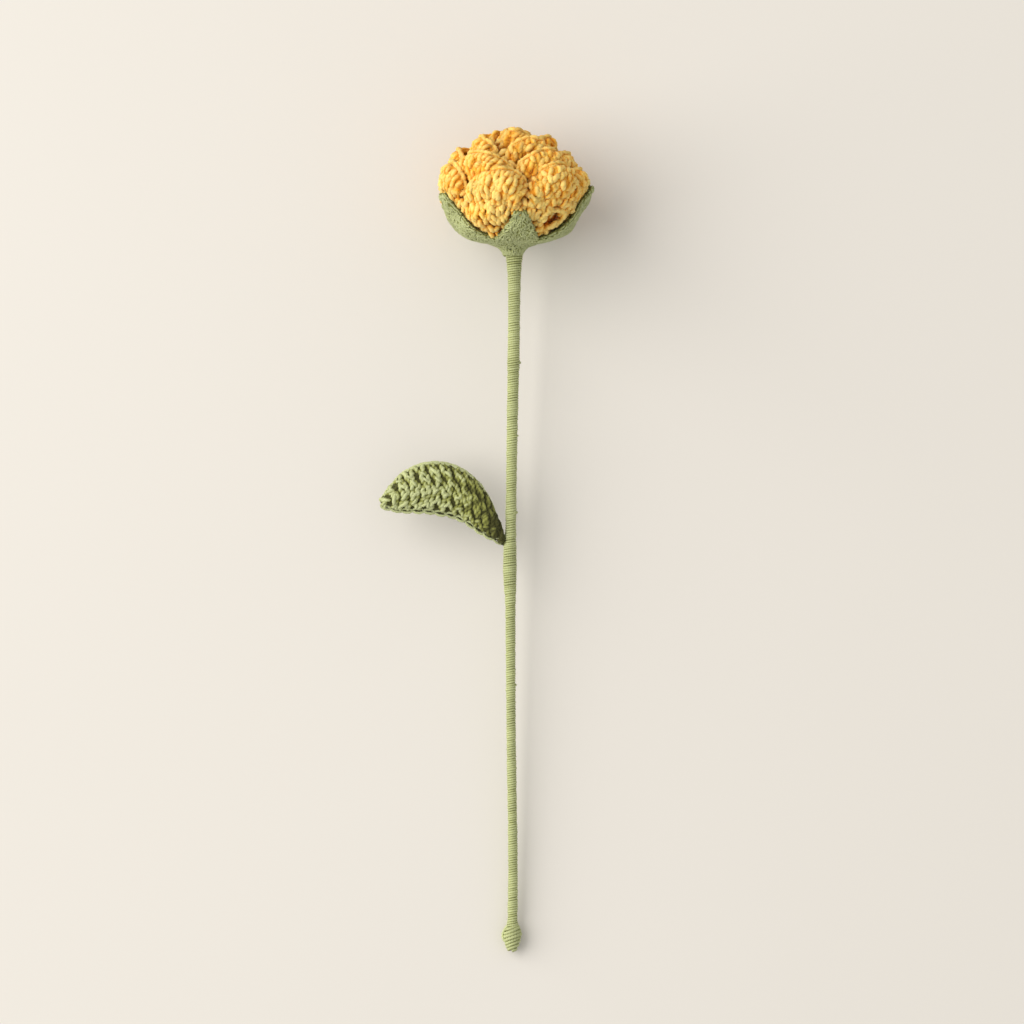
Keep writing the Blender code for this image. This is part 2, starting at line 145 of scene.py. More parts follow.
def addSheet(skein, surface, p, q, thickness, height):
    # A closed sheet over even steps of p and q: front = grid + normal * thickness / 2,
    # back = grid - normal * thickness / 2, and a rim
    p, q = np.meshgrid(p, q, indexing="ij")
    grid, normal = onSurface(surface, p, q, 0 * p)
    half = np.broadcast_to(thickness / 2, p.shape)[..., None]
    points = np.stack([grid + normal * half, grid - normal * half])
    number = np.arange(p.size).reshape(p.shape)
    front = np.stack([number[:-1, :-1], number[1:, :-1], number[1:, 1:], number[:-1, 1:]], axis=-1)
    front = front.reshape(-1, 4)
    back = front[:, [0, 3, 2, 1]] + p.size
    ring = np.concatenate([number[:-1, 0], number[-1, :-1], number[:0:-1, -1], number[0, :0:-1]])
    after = np.roll(ring, -1)
    rim = np.stack([after, ring, ring + p.size, after + p.size], axis=-1)
    faces = np.concatenate([front, back, rim])
    u = lengthAlong(grid.swapaxes(0, 1)).T / uvAcross
    v = lengthAlong(grid) / uvAlong
    uv = np.tile(np.stack([u, v], axis=-1).reshape(-1, 2), (2, 1))[faces.ravel()]
    addFaces(skein, points, faces, np.full(len(faces), 4), uv, height, 0.5)


# A piece's fibres, apart from what it gives itself. They grow from strands of these half thicknesses.
# The fibres' depth paints them lighter, a painted highlight.
fuzzy = {
    "strands": (0.2, 2), "under": 0.15, "lengths": (0.4, 1.6), "stray": 1.0, "length": 0.8, "radius": 0.028,
    "depth": 1.5,
}


def addFuzz(skein, rng, look):
    # Loose fibres: a thin closed spike of three sides from the yarn's skin, leaning at random from its
    # outward direction, tip = root + length * unit(outward + stray * random)
    look = {**fuzzy, **look}
    count = look["count"]
    points, outward, depth, shade = (
        np.concatenate(skein[key]) for key in ("points", "outward", "depth", "shade"))
    firm = np.linalg.norm(outward, axis=1)
    thin, thick = look["strands"]
    picked = rng.choice(np.flatnonzero((firm > thin) & (firm < thick) & (depth > look["from"])), count)
    lean = unit(unit(outward[picked]) + look["stray"] * rng.normal(0, 1, (count, 3)))
    root = points[picked] - look["under"] * lean
    tip = root + lean * look["length"] * rng.uniform(*look["lengths"], (count, 1))
    one = unit(np.cross(lean, rng.normal(0, 1, (count, 3))))
    two = np.cross(lean, one)
    turn = np.arange(3) * 2 * math.pi / 3
    around = np.cos(turn)[:, None] * one[:, None] + np.sin(turn)[:, None] * two[:, None]
    ring = root[:, None] + look["radius"] * around
    spike = np.concatenate([ring, tip[:, None]], axis=1)
    faces = np.array([(0, 1, 3), (1, 2, 3), (2, 0, 3), (0, 2, 1)])
    corners = (np.arange(count)[:, None, None] * 4 + faces).reshape(-1, 3)
    uv = np.zeros((corners.size, 2))
    # Each fibre's depth paints it in a strand's lighter top colour: painted highlight
    addFaces(skein, spike, corners, np.full(len(corners), 3), uv, look["depth"], shade[picked][:, None])


def addObject(name, data):
    made = bpy.data.objects.new(name, data)
    bpy.context.scene.collection.objects.link(made)
    return made


def weave(name, skein, finish, node):
    # The skein's arrays become one mesh, which stands for the CAD node
    points = laid(np.concatenate(skein["points"]))
    corners = np.concatenate(skein["corners"])
    sizes = np.concatenate(skein["sizes"])
    mesh = bpy.data.meshes.new(name)
    mesh.vertices.add(len(points))
    mesh.vertices.foreach_set("co", points.astype(np.float32).ravel())
    mesh.loops.add(len(corners))
    mesh.loops.foreach_set("vertex_index", corners.astype(np.int32))
    mesh.polygons.add(len(sizes))
    mesh.polygons.foreach_set("loop_start", (np.cumsum(sizes) - sizes).astype(np.int32))
    mesh.update(calc_edges=True)
    layer = mesh.uv_layers.new(name="strand")
    layer.data.foreach_set("uv", np.concatenate(skein["uv"]).astype(np.float32).ravel())
    for key in ("depth", "shade"):
        values = mesh.attributes.new(key, "FLOAT", "POINT")
        values.data.foreach_set("value", np.concatenate(skein[key]).astype(np.float32))
    mesh.materials.append(finish)
    mesh.shade_smooth()
    piece = addObject(name, mesh)
    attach(piece, "root")
    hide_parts(node)
    print("made", name, "with", int((sizes - 2).sum()), "triangles")


def smoothLine(points, count):
    # Catmull-Rom curve through the points, evenly spaced in its parameter
    points = np.asarray(points, float)
    knots = np.vstack([2 * points[0] - points[1], points, 2 * points[-1] - points[-2]])
    where = np.linspace(0, len(points) - 1, count)
    first = np.minimum(where.astype(int), len(points) - 2)
    u = (where - first)[:, None]
    a, b, c, d = (knots[first + k] for k in range(4))
    return 0.5 * (2 * b + (c - a) * u + (2 * a - 5 * b + 4 * c - d) * u**2 + (3 * b - a - 3 * c + d) * u**3)


def alongLine(points, q, steps):
    # Both coordinates of a smooth line at q, which runs from 0 to 1 along it
    fine = smoothLine(points, steps)
    where = np.linspace(0, 1, steps)
    return tuple(np.interp(q, where, fine[:, k]) for k in range(2))


def rounded(steps, tip=0.35, sharpness=6):
    # Radius along a strand with rounded ends, for u from -1 to 1: tip + (1 - tip) * sqrt(1 - |u|^sharpness)
    u = np.linspace(-1, 1, steps)
    return tip + (1 - tip) * np.sqrt(1 - np.abs(u) ** sharpness)


# How unevenly the hand works: the range of a factor drawn for each stitch or each link of a chain
uneven = {
    "length": (0.8, 1.2), "bulge": (0.7, 1.25), "radius": (0.86, 1.14),
    "linkBow": (0.85, 1.2), "linkRadius": (0.92, 1.1), "linkStray": 0.06,
}
leastPerP, leastPerQ = 1, 9     # no stitch is stretched where a surface's own p and q crowd together


def addChain(skein, rng, line, normal, look):
    # A crochet chain along a line: each link is two legs that leave the link before, bow apart and meet in
    # the next. bow = sin(pi u)^0.7, and a leg is line + normal * (way * face * bow + raise)
    # + inward * (way * open * bow + sink * (1 - u)^2)
    along = unit(np.gradient(line, axis=0))
    inward = np.cross(normal, along)
    arc = lengthAlong(line)
    links = max(2, int(round(arc[-1] / look["length"])))
    steps = 8
    u = np.linspace(0, 1, steps)[None]
    where = (np.arange(links)[:, None] + (1 + 2 * look["overlap"]) * u - look["overlap"]) / links
    where = np.clip(where + rng.normal(0, uneven["linkStray"] / links, (links, 1)), 0, 1) * arc[-1]
    at = [np.stack([np.interp(where, arc, values[:, k]) for k in range(3)], axis=-1)
          for values in (line, normal, inward)]
    bow = np.sin(math.pi * u) ** 0.7
    for way in (-1, 1):
        spread = rng.uniform(*uneven["linkBow"], (links, 1))
        out = way * look["face"] * bow * spread + look.get("raise", 0)
        sideways = way * look["open"] * bow * spread + look["sink"] * (1 - u) ** 2
        path = at[0] + at[1] * out[..., None] + at[2] * sideways[..., None]
        radius = look["radius"] * rounded(steps, 0.5, 3) * rng.uniform(*uneven["linkRadius"], (links, 1))
        addStrands(skein, rng, path, radius, at[1], look["depth"] + np.abs(out), 8, pitch=5.5)


def moves(surface, p, q):
    # What a point moves by from one nudge before to one after, for p and for q
    return surface(p + nudge, q) - surface(p - nudge, q), surface(p, q + nudge) - surface(p, q - nudge)


def onSurface(surface, p, q, height):
    # A point on surface(p, q), raised along its normal, which is d/dp x d/dq by small differences
    normal = unit(np.cross(*moves(surface, p, q)))
    return surface(p, q) + normal * np.asarray(height)[..., None], normal


def addStitches(skein, rng, surface, p, q, angle, look, face=1, shift=0.0):
    # Short plump stitches that lie on a surface, centred on (p, q) and turned by angle from p's way towards
    # q's. u runs from -1 to 1, height = sink + bulge * (1 - u^2), and each bends sideways by
    # bend * (1 - u^2). A stitch that would cross an end of q's range is moved back from it. shift is added
    # to the depth that colours them.
    count = len(p)
    u = np.linspace(-1, 1, look.get("steps", 7))[None]
    p, q = p[:, None], q[:, None]
    angle = np.radians(angle + rng.normal(0, look["stray"], count))[:, None]
    perP, perQ = (np.linalg.norm(move, axis=-1) / (2 * nudge) for move in moves(surface, p, q))
    forward = look["length"] / 2 * rng.uniform(*uneven["length"], (count, 1)) * u
    aside = look["bend"] * rng.normal(0, 1, (count, 1)) * (1 - u**2)
    p = p + (np.cos(angle) * forward - np.sin(angle) * aside) / np.maximum(perP, leastPerP)
    q = q + (np.sin(angle) * forward + np.cos(angle) * aside) / np.maximum(perQ, leastPerQ)
    low, high = look.get("within", (0, 1))
    q = q + np.maximum(low - q.min(axis=1), 0)[:, None] - np.maximum(q.max(axis=1) - high, 0)[:, None]
    bulge = look["bulge"] * (1 if face > 0 else look.get("inner", 1))
    height = look["sink"] + bulge * rng.uniform(*uneven["bulge"], (count, 1)) * (1 - u**2)
    path, normal = onSurface(surface, p, np.clip(q, low, high), face * height)
    radius = look["radius"] * rounded(u.size, 0.45, 2.6) * rng.uniform(*uneven["radius"], (count, 1))
    # height + shift is the depth that picks the colour: painted shade low down, a painted highlight on top
    addStrands(skein, rng, path, radius, normal, height + shift, look.get("sides", 7), 2, 5.0, 0.07)


# Materials: a yarn's colour goes from crease to body to tip as its depth goes from deep to high
# The crease colour is painted shade between the strands, the tip colour a painted highlight on their tops.
yellowYarn = {
    "creaseShade": (0.75, 0.27, 0.011), "body": (0.895, 0.45, 0.048), "tip": (0.95, 0.665, 0.195),
    "deep": -0.1, "high": 2.5, "roughness": 0.85, "sheen": 0.3, "sheenTint": (1.0, 0.84, 0.5),
    "glow": 0.2, "glowReach": (1.0, 0.6, 0.3),
}
greenYarn = {
    "creaseShade": (0.06, 0.06, 0.014), "body": (0.275, 0.290, 0.068), "tip": (0.51, 0.55, 0.28),
    "deep": -0.3, "high": 1.7, "roughness": 0.88, "sheen": 0.18, "sheenTint": (0.95, 1.0, 0.7),
    "glow": 0.08, "glowReach": (0.7, 0.7, 0.4),
}
fibres = {"around": 26.0, "along": 5.0, "bump": 0.35, "depth": 0.0002, "contrast": 0.16}
drawnWire = {"lines": (4000, 60, 4000), "dark": (0.30, 0.30, 0.31), "light": (0.58, 0.58, 0.60)}


def nodeTree(name):
    made = bpy.data.materials.new(name)
    made.use_nodes = True
    tree = made.node_tree
    return made, tree, tree.nodes["Principled BSDF"]


def setInputs(node, values):
    # Another node's output is linked, and any other value is the socket's own
    for key, value in values.items():
        if isinstance(value, bpy.types.NodeSocket):
            node.id_data.links.new(value, node.inputs[key])
        else:
            node.inputs[key].default_value = value


def addNode(tree, kind, settings=None, **values):
    node = tree.nodes.new(kind)
    for key, value in (settings or {}).items():
        setattr(node, key, value)
    setInputs(node, values)
    return node


def addRamp(tree, value, colours):
    # From the first colour to the last in even steps
    ramp = addNode(tree, "ShaderNodeValToRGB", Fac=value)
    stops = ramp.color_ramp.elements
    for step in range(1, len(colours) - 1):
        stops.new(step / (len(colours) - 1))
    for stop, colour in zip(stops, colours):
        stop.color = (*colour, 1)
    return ramp.outputs["Color"]


def yarnFinish(name, look):
    # Spun yarn: its colour follows how deep a point lies between the stitches, painted shade deep down and
    # a painted highlight on top, with a soft drift over the piece and fine fibres along each strand that
    # also make the bump
    made, tree, shader = nodeTree(name)
    depth = addNode(tree, "ShaderNodeAttribute", {"attribute_name": "depth"}).outputs["Fac"]
    level = addNode(tree, "ShaderNodeMapRange", {"interpolation_type": "SMOOTHSTEP"}, Value=depth)
    setInputs(level, {"From Min": look["deep"], "From Max": look["high"]})
    yarnColour = addRamp(tree, level.outputs["Result"], (look["creaseShade"], look["body"], look["tip"]))

    place = addNode(tree, "ShaderNodeTexCoord").outputs["Object"]
    drift = addNode(tree, "ShaderNodeTexNoise", Vector=place, Scale=90.0, Detail=3.0, Roughness=0.55)
    strand = addNode(tree, "ShaderNodeAttribute", {"attribute_name": "shade"}).outputs["Fac"]
    both = addNode(tree, "ShaderNodeMath", {"operation": "MULTIPLY_ADD"})
    setInputs(both, {0: strand, 1: 0.35, 2: drift.outputs["Fac"]})
    vary = addNode(tree, "ShaderNodeMapRange", Value=both.outputs["Value"])
    setInputs(vary, {"From Min": 0.35, "From Max": 1.0, "To Min": 0.86, "To Max": 1.14})

    lines = addNode(tree, "ShaderNodeUVMap", {"uv_map": "strand"}).outputs["UV"]
    stretch = addNode(tree, "ShaderNodeMapping", Vector=lines, Scale=(fibres["around"], fibres["along"], 1))
    drawn = stretch.outputs["Vector"]
    hairs = addNode(tree, "ShaderNodeTexNoise", Vector=drawn, Scale=1.0, Detail=4.0, Roughness=0.65)
    hair = hairs.outputs["Fac"]
    streak = addNode(tree, "ShaderNodeMapRange", Value=hair)
    low, high = 1 - fibres["contrast"], 1 + fibres["contrast"]
    setInputs(streak, {"From Min": 0.3, "From Max": 0.7, "To Min": low, "To Max": high})
    gain = addNode(tree, "ShaderNodeMath", {"operation": "MULTIPLY"})
    setInputs(gain, {0: vary.outputs["Result"], 1: streak.outputs["Result"]})
    colour = addNode(tree, "ShaderNodeVectorMath", {"operation": "SCALE"}, Scale=gain.outputs["Value"])
    setInputs(colour, {0: yarnColour})
    bump = addNode(tree, "ShaderNodeBump", Height=hair, Strength=fibres["bump"], Distance=fibres["depth"])
    setInputs(shader, {
        "Base Color": colour.outputs["Vector"], "Normal": bump.outputs["Normal"],
        "Roughness": look["roughness"], "Specular IOR Level": 0.25,
        "Subsurface Weight": look["glow"], "Subsurface Radius": look["glowReach"], "Subsurface Scale": 0.001,
        "Sheen Weight": look["sheen"], "Sheen Roughness": 0.45, "Sheen Tint": (*look["sheenTint"], 1),
    })
    return made


def wireFinish():
    # Drawn wire: fine lines along Y in a slightly uneven grey
    made, tree, shader = nodeTree("drawnWire")
    place = addNode(tree, "ShaderNodeTexCoord").outputs["Object"]
    stretch = addNode(tree, "ShaderNodeMapping", Vector=place, Scale=drawnWire["lines"])
    lines = addNode(tree, "ShaderNodeTexNoise", Vector=stretch.outputs["Vector"], Scale=1.0, Detail=2.0)
    grey = addRamp(tree, lines.outputs["Fac"], (drawnWire["dark"], drawnWire["light"]))
    setInputs(shader, {"Base Color": grey, "Metallic": 1.0, "Roughness": 0.35})
    return made


yellow = yarnFinish("yellowYarn", yellowYarn)
green = yarnFinish("greenYarn", greenYarn)
wire = wireFinish()
for wireNode in ("stem_wire", "leaf_wire"):
    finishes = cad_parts[wireNode].data.materials
    finishes.clear()
    finishes.append(wire)
print("materials are ready")

# Calyx: a cup with five sepals, each (turn, reach, fullness, half width). The profile is (radius, height)
# from the cup to a full sepal's tip. It comes before the bloom, whose petals are held in under the sepals.
calyx = {
    "profile": [(7.0, 319.6), (13.0, 320.2), (18.6, 321.6), (23.8, 324.2), (27.2, 328.0), (29.6, 332.4),
                (32.3, 337.0), (34.2, 341.0), (35.5, 345.0)],
    "neck": [(3.5, 313.0), (4.3, 315.2), (6.4, 317.4), (9.4, 318.6), (11.6, 319.6)],
    "sepals": ((7, 0.63, 1.0, 14.0), (86, 0.99, 2.4, 11.5), (149, 0.86, 1.9, 14.5), (222, 0.88, 1.6, 11.5),
               (292, 0.88, 2.2, 11.5)),
    "length": 40.0, "tip": 1.6, "crowding": 0.66, "thick": 2.4, "sheet": 0.8, "edge": 0.96, "lumps": 0.65,
    "row": 1.35, "spacing": 0.85, "innerSpacing": 1.7, "innerShade": 0.7,
    "neckRows": 7, "neckGirth": (4.6, 6.5), "neckInset": 0.6, "neckDepth": 0.7,
    "stitch": {"stray": 32, "zigzag": 12, "length": 3.1, "radius": 0.48, "bulge": 0.42, "sink": 0.62,
               "bend": 0.3, "steps": 5, "sides": 6, "within": (0.0, 0.985)},
    "fuzz": {"count": 1600, "from": 0.7, "stray": 1.2},
}

# Bloom: petals in rings from the outside in. base and rim are how far a petal's root and top are from the
# bloom's axis, belly how far it swells out between them, cup how far its sides curl in, root where it starts
# and rise its own height. A petal is (turn, width, lift, skew, proud): the turn in degrees, 0 in
# front and 90 at the right, how much taller it is, how far its top leans right, and how far it stands out.
petalRings = [
    {"petals": ((-18, 33, 0, 0.15, 0), (35, 26, 2.5, 0.28, 1.2), (80, 29, 0.5, 0.1, 0), (128, 33, 0, 0.1, 0),
                (180, 36, 1, 0, 0), (234, 33, 1, 0, 0), (282, 31, 4, 0, -0.6)),
     "root": 333.5, "rise": 17.2, "base": 26.4, "belly": 4.9, "rim": 29.0, "cup": 5.2},
    {"petals": ((-41, 35, -1, -0.1, 0.8), (30, 27, 0, 0.35, 0.8), (86, 30, -1, 0.1, 0), (142, 32, 0, 0.1, 0),
                (200, 33, 1, 0, 0), (256, 32, 1, 0, 0)),
     "root": 343.0, "rise": 16.6, "base": 20.5, "belly": 3.8, "rim": 23.2, "cup": 3.8},
    {"petals": ((-72, 25, 0, 0, 0), (20, 21, -1, 0.3, 0.5), (80, 26, 0, 0.1, 0), (144, 27, 0, 0, 0),
                (214, 27, 1, 0, 0)),
     "root": 350.5, "rise": 15.6, "base": 13.0, "belly": 2.8, "rim": 15.2, "cup": 2.2},
    {"petals": ((-8, 18, 0, 0.1, 0), (118, 18, -1, 0, 0), (236, 18, -1, 0, 0)),
     "root": 355.5, "rise": 13.6, "base": 6.0, "belly": 1.8, "rim": 7.5, "cup": 0.8},
    {"petals": ((70, 10, 0, 0, 0),),
     "root": 357.5, "rise": 11.4, "base": 1.8, "belly": 0.4, "rim": 2.4, "cup": 0.0},
]
petalCut = {
    "side": 0.93, "fanRoot": 0.6, "outline": 2.4, "overlap": 2.4, "swell": 1.25, "steep": 0.94,
    "wave": 0.9, "waves": 5.2, "dimple": 1.1, "dimples": (11, 8),
    "clearance": 3.2, "reachPast": 3.0, "fade": 3.0, "sepalWide": 0.46,
}
petalStitch = {
    "inset": 0.97, "sheet": 1.0, "sheetFrom": 0.07, "sheetTo": 0.95, "sheetDepth": 0.8, "innerFrom": 0.68,
    "shadow": 1.3, "shadowInside": 25, "strayAcross": 0.12, "strayUp": 0.02,
    "rowValues": ("at", "spacing", "angle", "zigzag", "stray", "length", "radius", "bulge", "sink", "bend",
                  "within", "inner"),
    "rows": ((0.18, 1.8, 90, 6, 7, 5.4, 1.22, 1.6, -0.5, 0.3, (0.005, 0.9), 1),
             (0.35, 1.75, 90, 12, 9, 5.6, 1.32, 1.8, -0.7, 0.4, (0.005, 0.9), 1),
             (0.52, 1.75, 86, 20, 10, 5.4, 1.32, 1.9, -0.7, 0.4, (0.005, 0.94), 1),
             (0.69, 1.75, 66, 14, 12, 5.4, 1.32, 1.9, -0.7, 0.45, (0.005, 0.97), 0.6),
             (0.85, 1.75, 74, 14, 10, 4.8, 1.15, 1.4, -0.3, 0.3, (0.005, 0.985), 0.6)),
    "filler": {"area": 14.0, "across": 0.9, "up": (0.2, 0.85), "clear": 0.12, "stray": 45, "length": 4.0,
               "radius": 0.8, "bulge": 0.5, "sink": 0.3, "bend": 0.4, "steps": 5, "sides": 6, "shift": -0.6},
    "edge": {"length": 3.9, "overlap": 0.15, "face": 0.5, "open": 0.42, "sink": 0.2, "radius": 1.05,
             "depth": 0.6},
    "edgeFrom": (0.8, 0.75), "edgeSkewed": (0.94, 0.42), "skewed": 0.25,
    "fuzz": {"count": 800, "from": 0.4, "depth": 1.8},
}


def heldIn(distance, angle, high):
    # Under a sepal, what the distance has beyond the sepal's radius less the clearance is taken off: times
    # exp(-(turn / sepalWide)^4), fading out above the sepal's tip
    fine = smoothLine(calyx["profile"], 60)
    limit = np.interp(high, fine[:, 1], fine[:, 0]) - petalCut["clearance"]
    for turn, reach, _, _ in calyx["sepals"]:
        away = angleFrom(turn, angle) / petalCut["sepalWide"]
        top = alongLine(calyx["profile"], reach, 60)[1] + petalCut["reachPast"]
        under = np.clip((top - high) / petalCut["fade"], 0, 1) * np.exp(-away**4)
        distance = distance - np.maximum(distance - limit, 0) * under
    return distance


def fanAt(t):
    # A petal's width at t as a share of its full width: fanRoot + (1 - fanRoot) * t^0.8
    return petalCut["fanRoot"] + (1 - petalCut["fanRoot"]) * np.maximum(t, 0) ** 0.8


def leaning(s, skew):
    # How far a petal has come down at s: 0 at its highest point, which the skew moves, and 1 at a side
    return np.abs(s - skew * (1 - s**2))


def petalSurface(ring, petal, phase):
    # spread = s * fan(t), high = root + (rise + lift) * t * sqrt(1 - leaning(s)^outline),
    # distance = base + (rim - base) * t + (belly + proud) * sin(pi * t^swell) - cup * spread^2 + overlap * s
    # + proud + wave * t * sin(waves * s) + dimple * sin(11 s) * sin(8 t), and is held in under the sepals
    turn, width, lift, skew, proud = petal
    across, up = petalCut["dimples"]

    def surface(s, t):
        spread = s * fanAt(t)
        lean = np.clip(leaning(s, skew), 0, 0.99)
        high = ring["root"] + (ring["rise"] + lift) * t * np.sqrt(1 - lean ** petalCut["outline"])
        wave = petalCut["wave"] * t * np.sin(petalCut["waves"] * s + phase)
        wave = wave + petalCut["dimple"] * np.sin(across * s + 2 * phase) * np.sin(up * t + phase)
        swell = (ring["belly"] + proud) * np.sin(math.pi * np.maximum(t, 0) ** petalCut["swell"])
        distance = ring["base"] + (ring["rim"] - ring["base"]) * t + swell
        distance = distance - ring["cup"] * spread**2 + petalCut["overlap"] * s + proud + wave
        angle = math.radians(turn) + width / 2 * spread / ((ring["base"] + ring["rim"]) / 2)
        return aboutAxis(angle, heldIn(distance, angle, high), high)
    return surface


def petalRows(skein, rng, surface, width, rise, skew, face, shadow):
    # Rows of stitches from root to rim, only the upper ones inside the petal: a fan of straight legs,
    # upright plump ones, and slanted loops, with thin ones deeper between them, painted darker as shade by
    # the filler's shift. The steep sides stay bare.
    # Towards its root an inner petal is a deeper colour by `shadow`.
    reach = petalCut["side"] * petalStitch["inset"]
    for values in petalStitch["rows"]:
        row = dict(zip(petalStitch["rowValues"], values))
        if face < 0 and row["at"] < petalStitch["innerFrom"]:
            continue
        count = max(3, int(round(width * reach * fanAt(row["at"]) / row["spacing"])))
        stray = rng.normal(0, petalStitch["strayAcross"] * reach / count, count)
        s = (np.arange(count) + 0.5) / count * 2 * reach - reach + stray
        t = row["at"] + rng.normal(0, petalStitch["strayUp"], count)
        angle = row["angle"] + row["zigzag"] * (-1.0) ** np.arange(count)
        flat = leaning(s, skew) < petalCut["steep"]
        addStitches(skein, rng, surface, s[flat], t[flat], angle[flat], row, face, -shadow * (1 - row["at"]))
    if face > 0:
        filler = petalStitch["filler"]
        count = int(width * rise / filler["area"])
        s = rng.uniform(-filler["across"], filler["across"], count) * reach
        t = rng.uniform(*filler["up"], count)
        angle = rng.uniform(0, 180, count)
        flat = leaning(s, skew) < petalCut["steep"] - filler["clear"]
        addStitches(skein, rng, surface, s[flat], t[flat], angle[flat], filler, face, filler["shift"])


def petalRim(skein, rng, surface, skew):
    # The outline runs up the left side at s = -side, over the top at t = 1 and down the right side, further
    # down on a skewed petal, whose right side lies open
    side = petalCut["side"]
    left, right = petalStitch["edgeSkewed" if skew >= petalStitch["skewed"] else "edgeFrom"]
    corners = np.array([(-side, left), (-side, 0.95), (-0.85 * side, 1.0), (0, 1.0),
                        (0.85 * side, 1.0), (side, 0.95), (side, right)])
    fine = np.linspace(0, len(corners) - 1, 400)
    s, t = (np.interp(fine, np.arange(len(corners)), corners[:, k]) for k in range(2))
    line, normal = onSurface(surface, s, t, 0 * s)
    addChain(skein, rng, line, normal, petalStitch["edge"])


def makePetal(number, ring, petal):
    rng, skein = newSkein(100 + number)
    surface = petalSurface(ring, petal, rng.uniform(0, 6.28))
    look = petalStitch
    s = np.linspace(-look["inset"], look["inset"], 21) * petalCut["side"]
    t = np.linspace(look["sheetFrom"], look["sheetTo"], 13)
    addSheet(skein, surface, s, t, look["sheet"], look["sheetDepth"])
    shadow = look["shadow"] if ring["base"] < look["shadowInside"] else 0.0
    for face in (1, -1):
        petalRows(skein, rng, surface, petal[1], ring["rise"], petal[3], face, shadow)
    petalRim(skein, rng, surface, petal[3])
    addFuzz(skein, rng, look["fuzz"])
    weave(f"petal{number:02d}", skein, yellow, "bloom")


# The rolled strip that the petals stand on. Its profile is (radius, height), a row of stitches (q, count)
# and the loop over its hole (turn, q).
bloomCore = {
    "profile": [(6.0, 320.8), (11.0, 321.4), (17.0, 324.0), (22.8, 327.4), (26.8, 331.0), (27.2, 334.6),
                (26.9, 340.0), (23.0, 347.5), (17.0, 354.5), (10.0, 360.5), (4.0, 364.0)],
    "inset": 3.4, "sides": 48, "lumps": 0.9,
    "push": 2.6, "pushFrom": 0.28, "pushOver": 0.3, "tuck": 2.0, "lowTo": 0.45,
    "hollow": {"turn": 72, "wide": math.radians(30), "deep": 3.4},
    "hole": {"turn": 44, "at": 0.37, "wide": 0.14, "long": 0.1, "deep": 3.5, "bare": 1.2},
    "loop": [(29, 0.33), (33, 0.42), (44, 0.465), (54, 0.44), (58, 0.36), (53, 0.29), (45, 0.265)],
    "loopRadius": 1.4, "loopHeight": 1.3, "loopDepth": 1.3,
    "rows": ((0.155, 42), (0.235, 56), (0.31, 68), (0.38, 76), (0.45, 76), (0.52, 72), (0.60, 58),
             (0.68, 44), (0.76, 32), (0.84, 22), (0.92, 12)),
    "stitch": {"stray": 14, "zigzag": 16, "length": 5.8, "radius": 1.32, "bulge": 2.0, "sink": -0.8,
               "bend": 0.5},
    "fuzz": {"count": 5000, "from": 0.3},
}


def holeAway(angle, q):
    # The square of the distance from the hole's middle, 1 where its side is half way down
    hole = bloomCore["hole"]
    return (angleFrom(hole["turn"], angle) / hole["wide"]) ** 2 + ((q - hole["at"]) / hole["long"]) ** 2


def coreSurface(angle, q):
    # Turned about the bloom's axis: q runs from the foot to the top of the profile. The radius grows by
    # lumps * sin(9 * angle + 1) * sin(20 * q). Low down it is tucked in under the sepals and swells out
    # between them, apart from a hollow at the right and one deep hole, each deep * exp(-distance^2)
    radius, high = alongLine(bloomCore["profile"], q, 200)
    radius = radius + bloomCore["lumps"] * np.sin(9 * angle + 1.0) * np.sin(20 * q)
    apart = np.abs(angleFrom([sepal[0] for sepal in calyx["sepals"]], angle[..., None])).min(axis=-1)
    clear = np.clip((apart - bloomCore["pushFrom"]) / bloomCore["pushOver"], 0, 1)
    low = np.sin(math.pi * np.clip(q / bloomCore["lowTo"], 0, 1)) ** 0.7
    radius = radius + (bloomCore["push"] * clear - bloomCore["tuck"] * (1 - clear)) * low
    hollow = bloomCore["hollow"]
    away = angleFrom(hollow["turn"], angle) / hollow["wide"]
    radius = radius - hollow["deep"] * np.exp(-away**2) * low
    radius = radius - bloomCore["hole"]["deep"] * np.exp(-holeAway(angle, q))
    return aboutAxis(angle, radius, high)


def makeCore():
    rng, skein = newSkein(7)
    profile = smoothLine(bloomCore["profile"], 30)
    inner = np.maximum(profile[:, 0] - bloomCore["inset"], 1.0)
    # A tube under the stitches, painted in the crease colour as shade
    addTube(skein, rng, aboutAxis(0.0, 0 * inner, profile[:, 1]), inner, underShadeDepth, bloomCore["sides"])
    look = bloomCore["stitch"]
    for q, count in bloomCore["rows"]:
        angle = np.arange(count) * 2 * math.pi / count + rng.normal(0, 0.6 / count, count)
        lean = 90 + look["zigzag"] * (-1.0) ** np.arange(count)
        level = q + rng.normal(0, 0.012, count)
        clear = holeAway(angle, level) > bloomCore["hole"]["bare"]
        addStitches(skein, rng, coreSurface, angle[clear], level[clear], lean[clear], look)
    loop = smoothLine(bloomCore["loop"], 26)
    raised = np.full(len(loop), bloomCore["loopHeight"])
    path, normal = onSurface(coreSurface, np.radians(loop[:, 0]), loop[:, 1], raised)
    radius = bloomCore["loopRadius"] * rounded(len(loop), 0.6, 8)
    addStrands(skein, rng, path[None], radius, normal, bloomCore["loopDepth"], plies=2, relief=0.1)
    addFuzz(skein, rng, bloomCore["fuzz"])
    weave("bloomStrip", skein, yellow, "bloom")


makeCore()
petals = [(ring, petal) for ring in petalRings for petal in ring["petals"]]
for number, (ring, petal) in enumerate(petals, 1):
    makePetal(number, ring, petal)
print("the bloom is worked")

